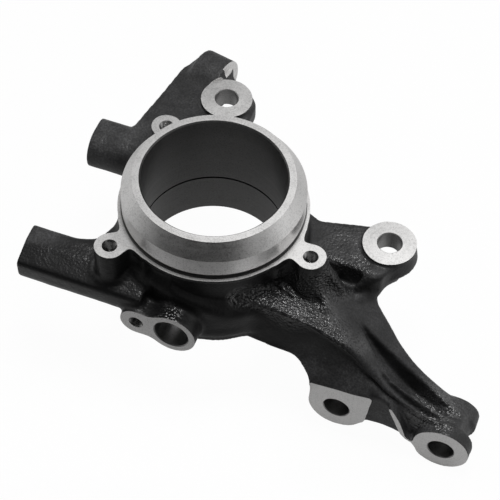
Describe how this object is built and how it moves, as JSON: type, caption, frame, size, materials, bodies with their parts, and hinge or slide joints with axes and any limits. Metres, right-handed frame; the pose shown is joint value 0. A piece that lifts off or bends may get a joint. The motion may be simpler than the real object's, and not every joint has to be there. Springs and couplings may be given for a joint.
{
  "type": "steering knuckle",
  "caption": "Cast-iron steering knuckle: a bored hub barrel with two stubs, a steering arm, caliper bosses, a sensor boss and a strut arm.",
  "frame": {"origin": "on the axis of the wheel bearing's bore, in the hub barrel's outer end face", "axes": "+Z along the bore, outboard, towards the wheel; +X up in the car, towards the strut bolts; +Y towards the steering arm and the caliper's side"},
  "size_m": [0.2711, 0.1995, 0.1355],
  "materials": {
    "cast_iron": "black rough-cast skin with bright machined faces and bores"
  },
  "bodies": {
    "root": {"knuckle": "cast_iron"}
  },
  "joints": []
}
